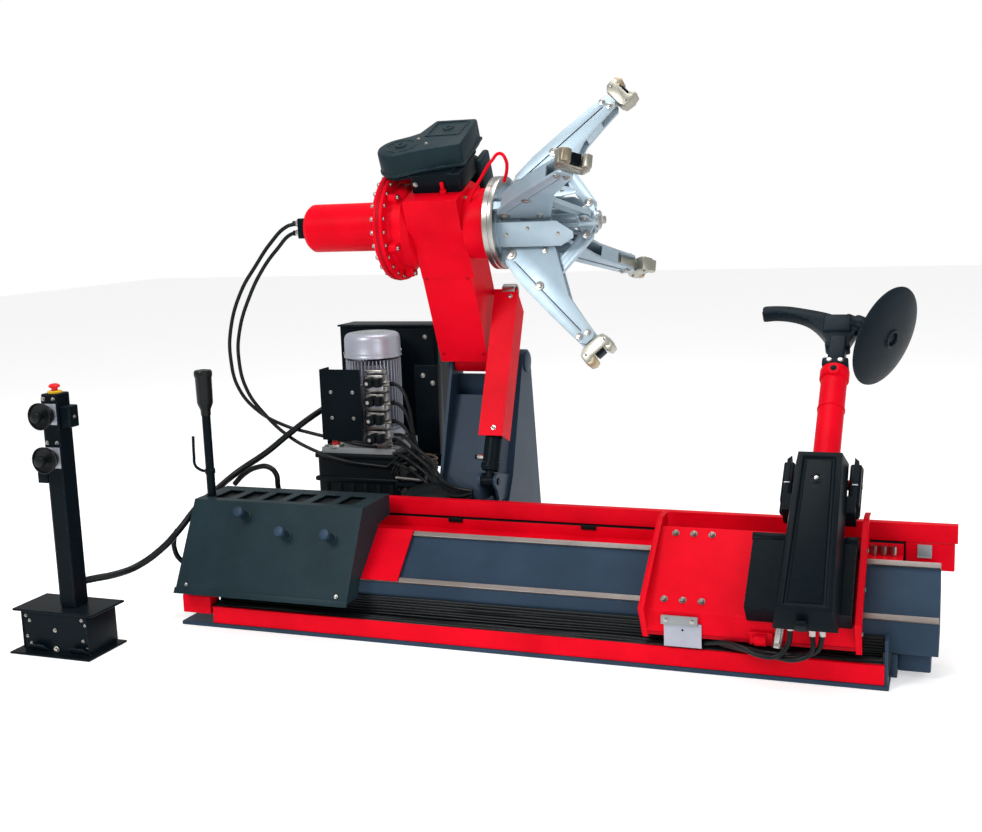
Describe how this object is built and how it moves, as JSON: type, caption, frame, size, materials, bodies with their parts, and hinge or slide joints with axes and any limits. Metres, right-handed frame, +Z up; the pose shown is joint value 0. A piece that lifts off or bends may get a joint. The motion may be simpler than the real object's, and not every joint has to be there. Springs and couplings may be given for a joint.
{
  "type": "truck tyre changer",
  "caption": "Workshop tyre changer with a slanted bed, sliding tool carriage, swinging arm with a self-centring wheel chuck, hydraulic unit and free-standing lever stand.",
  "frame": {"origin": "on the floor under the middle of the bed: the underside of the floor plate is z = 0, x = 0 is the middle of the front rail and y = 0 lies 380 mm behind the front rail's face", "axes": "+X along the bed from the tool tray towards the tool carriage, -Y towards the operator, +Z up; the bed and rear rail run along X, which is the longest extent"},
  "size_m": [2.577, 1.384, 1.5982],
  "materials": {
    "red_paint": "glossy red enamel",
    "grey_paint": "slate grey enamel, satin",
    "black_coat": "black powder coat, satin",
    "dark_green_coat": "dark green-grey powder coat, satin",
    "zinc_plate": "zinc plated, satin",
    "bright_steel": "bare ground steel",
    "motor_silver": "silver paint, satin",
    "jaw_bronze": "worn bronze-coloured steel",
    "black_plastic": "moulded, matt"
  },
  "bodies": {
    "root": {"base_frame": "grey_paint", "front_rail": "red_paint", "left_end_block": "red_paint", "bed_beam": "grey_paint", "lower_guide_rail": "bright_steel", "upper_guide_rail": "bright_steel", "bed_stop_plate": "red_paint", "back_rail": "red_paint", "rear_end_block": "red_paint", "rear_guide_angle": "red_paint", "tool_tray": "dark_green_coat", "tyre_lever": "black_coat", "pedestal": "grey_paint", "arm_pivot_pin": "bright_steel", "oil_tank": "black_plastic", "tank_lid": "motor_silver", "pump_motor": "motor_silver", "motor_fan_cover": "motor_silver", "valve_block": "bright_steel", "valve_panel": "black_coat", "electrical_cabinet": "black_coat", "stand_base": "black_coat", "stand_column": "black_coat", "stand_switch_box": "black_coat"},
    "chuck_arm": {"arm_housing": "red_paint", "gear_case": "red_paint", "chuck_cylinder": "red_paint", "bearing_ring": "red_paint", "belt_cover": "dark_green_coat", "belt_bracket": "black_coat", "drive_motor": "black_coat"},
    "lift_barrel": {"lift_barrel": "black_coat"},
    "lift_rod": {"lift_rod": "bright_steel", "lift_guard": "red_paint"},
    "chuck": {"chuck_body": "zinc_plate"},
    "crosshead": {"crosshead": "zinc_plate"},
    "clamp_1": {"clamp_arm_1": "zinc_plate", "clamp_jaw_1": "jaw_bronze"},
    "clamp_2": {"clamp_arm_2": "zinc_plate", "clamp_jaw_2": "jaw_bronze"},
    "clamp_3": {"clamp_arm_3": "zinc_plate", "clamp_jaw_3": "jaw_bronze"},
    "clamp_4": {"clamp_arm_4": "zinc_plate", "clamp_jaw_4": "jaw_bronze"},
    "link_1": {"clamp_link_1": "zinc_plate"},
    "link_2": {"clamp_link_2": "zinc_plate"},
    "link_3": {"clamp_link_3": "zinc_plate"},
    "link_4": {"clamp_link_4": "zinc_plate"},
    "worm_pulley": {"worm_pulley": "bright_steel"},
    "motor_pulley": {"motor_pulley": "bright_steel"},
    "carriage": {"carriage_saddle": "red_paint", "tower_base": "black_coat"},
    "tower": {"tower_beam": "black_coat", "tower_cover": "black_coat"},
    "tool_arm": {"tool_arm": "red_paint"},
    "tool_head": {"tool_head": "black_coat"},
    "bead_disc": {"bead_disc": "black_coat"},
    "joystick_upper": {"joystick_upper": "black_plastic"},
    "joystick_lower": {"joystick_lower": "black_plastic"},
    "emergency_button": {"emergency_button": "red_paint"}
  },
  "joints": [
    {"name": "arm_lift", "type": "hinge", "parent": "root", "child": "chuck_arm", "pos_m": [0, 0.285, 0.735], "axis": [1, 0, 0], "range_deg": [0, 40]},
    {"name": "lift_barrel_tilt", "type": "hinge", "parent": "root", "child": "lift_barrel", "pos_m": [-0.216, 0.012, 0.4], "axis": [1, 0, 0], "range_deg": [0, 11.9]},
    {"name": "lift_rod_slide", "type": "slide", "parent": "lift_barrel", "child": "lift_rod", "axis": [0, 0.4077, 0.9131], "range_m": [-0.1047, 0]},
    {"name": "chuck_spin", "type": "hinge", "parent": "chuck_arm", "child": "chuck", "pos_m": [-0.17, 0.08651, 1.18081], "axis": [1, 0, 0], "continuous": true},
    {"name": "crosshead_slide", "type": "slide", "parent": "chuck", "child": "crosshead", "axis": [1, 0, 0], "range_m": [-0.01, 0.07]},
    {"name": "clamp_1_hinge", "type": "hinge", "parent": "chuck", "child": "clamp_1", "pos_m": [-0.122, 0.13171, 1.28329], "axis": [0, -0.915, 0.4035], "range_deg": [-20.35, 3.08]},
    {"name": "clamp_2_hinge", "type": "hinge", "parent": "chuck", "child": "clamp_2", "pos_m": [-0.122, -0.01596, 1.22601], "axis": [0, -0.4035, -0.915], "range_deg": [-20.35, 3.08]},
    {"name": "clamp_3_hinge", "type": "hinge", "parent": "chuck", "child": "clamp_3", "pos_m": [-0.122, 0.04131, 1.07834], "axis": [0, 0.915, -0.4035], "range_deg": [-20.35, 3.08]},
    {"name": "clamp_4_hinge", "type": "hinge", "parent": "chuck", "child": "clamp_4", "pos_m": [-0.122, 0.18899, 1.13561], "axis": [0, 0.4035, 0.915], "range_deg": [-20.35, 3.08]},
    {"name": "link_1_hinge", "type": "hinge", "parent": "crosshead", "child": "link_1", "pos_m": [0.1, 0.10669, 1.22656], "axis": [0, -0.915, 0.4035], "range_deg": [-2.48, 16.19]},
    {"name": "link_2_hinge", "type": "hinge", "parent": "crosshead", "child": "link_2", "pos_m": [0.1, 0.04077, 1.20099], "axis": [0, -0.4035, -0.915], "range_deg": [-2.48, 16.19]},
    {"name": "link_3_hinge", "type": "hinge", "parent": "crosshead", "child": "link_3", "pos_m": [0.1, 0.06634, 1.13506], "axis": [0, 0.915, -0.4035], "range_deg": [-2.48, 16.19]},
    {"name": "link_4_hinge", "type": "hinge", "parent": "crosshead", "child": "link_4", "pos_m": [0.1, 0.13226, 1.16063], "axis": [0, 0.4035, 0.915], "range_deg": [-2.48, 16.19]},
    {"name": "worm_pulley_spin", "type": "hinge", "parent": "chuck_arm", "child": "worm_pulley", "pos_m": [-0.452, 0.02578, 1.35409], "axis": [0, -0.4067, 0.9135], "continuous": true},
    {"name": "motor_pulley_spin", "type": "hinge", "parent": "chuck_arm", "child": "motor_pulley", "pos_m": [-0.335, 0.14911, 1.409], "axis": [0, -0.4067, 0.9135], "continuous": true},
    {"name": "carriage_slide", "type": "slide", "parent": "root", "child": "carriage", "axis": [1, 0, 0], "range_m": [-0.28, 0.045]},
    {"name": "tower_slide", "type": "slide", "parent": "carriage", "child": "tower", "axis": [0, 0.7431, 0.6691], "range_m": [-0.06, 0.14]},
    {"name": "tool_arm_tilt", "type": "hinge", "parent": "tower", "child": "tool_arm", "pos_m": [0.795, -0.12453, 0.46516], "axis": [1, 0, 0], "range_deg": [-25, 0]},
    {"name": "tool_head_turn", "type": "hinge", "parent": "tool_arm", "child": "tool_head", "pos_m": [0.795, 0.16946, 0.72987], "axis": [0, 0.7431, 0.6691], "range_deg": [0, 180]},
    {"name": "disc_spin", "type": "hinge", "parent": "tool_head", "child": "bead_disc", "pos_m": [0.92593, 0.25523, 0.82208], "axis": [0.8434, -0.4531, -0.2887], "continuous": true},
    {"name": "joystick_upper_tilt", "type": "hinge", "parent": "root", "child": "joystick_upper", "pos_m": [-1.267, -0.684, 0.7], "axis": [1, 0, 0], "range_deg": [-15, 15]},
    {"name": "joystick_lower_tilt", "type": "hinge", "parent": "root", "child": "joystick_lower", "pos_m": [-1.267, -0.684, 0.575], "axis": [1, 0, 0], "range_deg": [-15, 15]},
    {"name": "emergency_press", "type": "slide", "parent": "root", "child": "emergency_button", "axis": [0, 0, -1], "range_m": [0, 0.005]}
  ],
  "couplings": [
    {"joint": "lift_barrel_tilt", "follows": "arm_lift", "ratio": 0.2926},
    {"joint": "lift_rod_slide", "follows": "arm_lift", "m_per_rad": -0.1485},
    {"joint": "clamp_1_hinge", "follows": "crosshead_slide", "rad_per_m": -5.024},
    {"joint": "clamp_2_hinge", "follows": "crosshead_slide", "rad_per_m": -5.024},
    {"joint": "clamp_3_hinge", "follows": "crosshead_slide", "rad_per_m": -5.024},
    {"joint": "clamp_4_hinge", "follows": "crosshead_slide", "rad_per_m": -5.024},
    {"joint": "link_1_hinge", "follows": "crosshead_slide", "rad_per_m": 3.986},
    {"joint": "link_2_hinge", "follows": "crosshead_slide", "rad_per_m": 3.986},
    {"joint": "link_3_hinge", "follows": "crosshead_slide", "rad_per_m": 3.986},
    {"joint": "link_4_hinge", "follows": "crosshead_slide", "rad_per_m": 3.986},
    {"joint": "worm_pulley_spin", "follows": "chuck_spin", "ratio": 20},
    {"joint": "motor_pulley_spin", "follows": "chuck_spin", "ratio": 27.5}
  ]
}
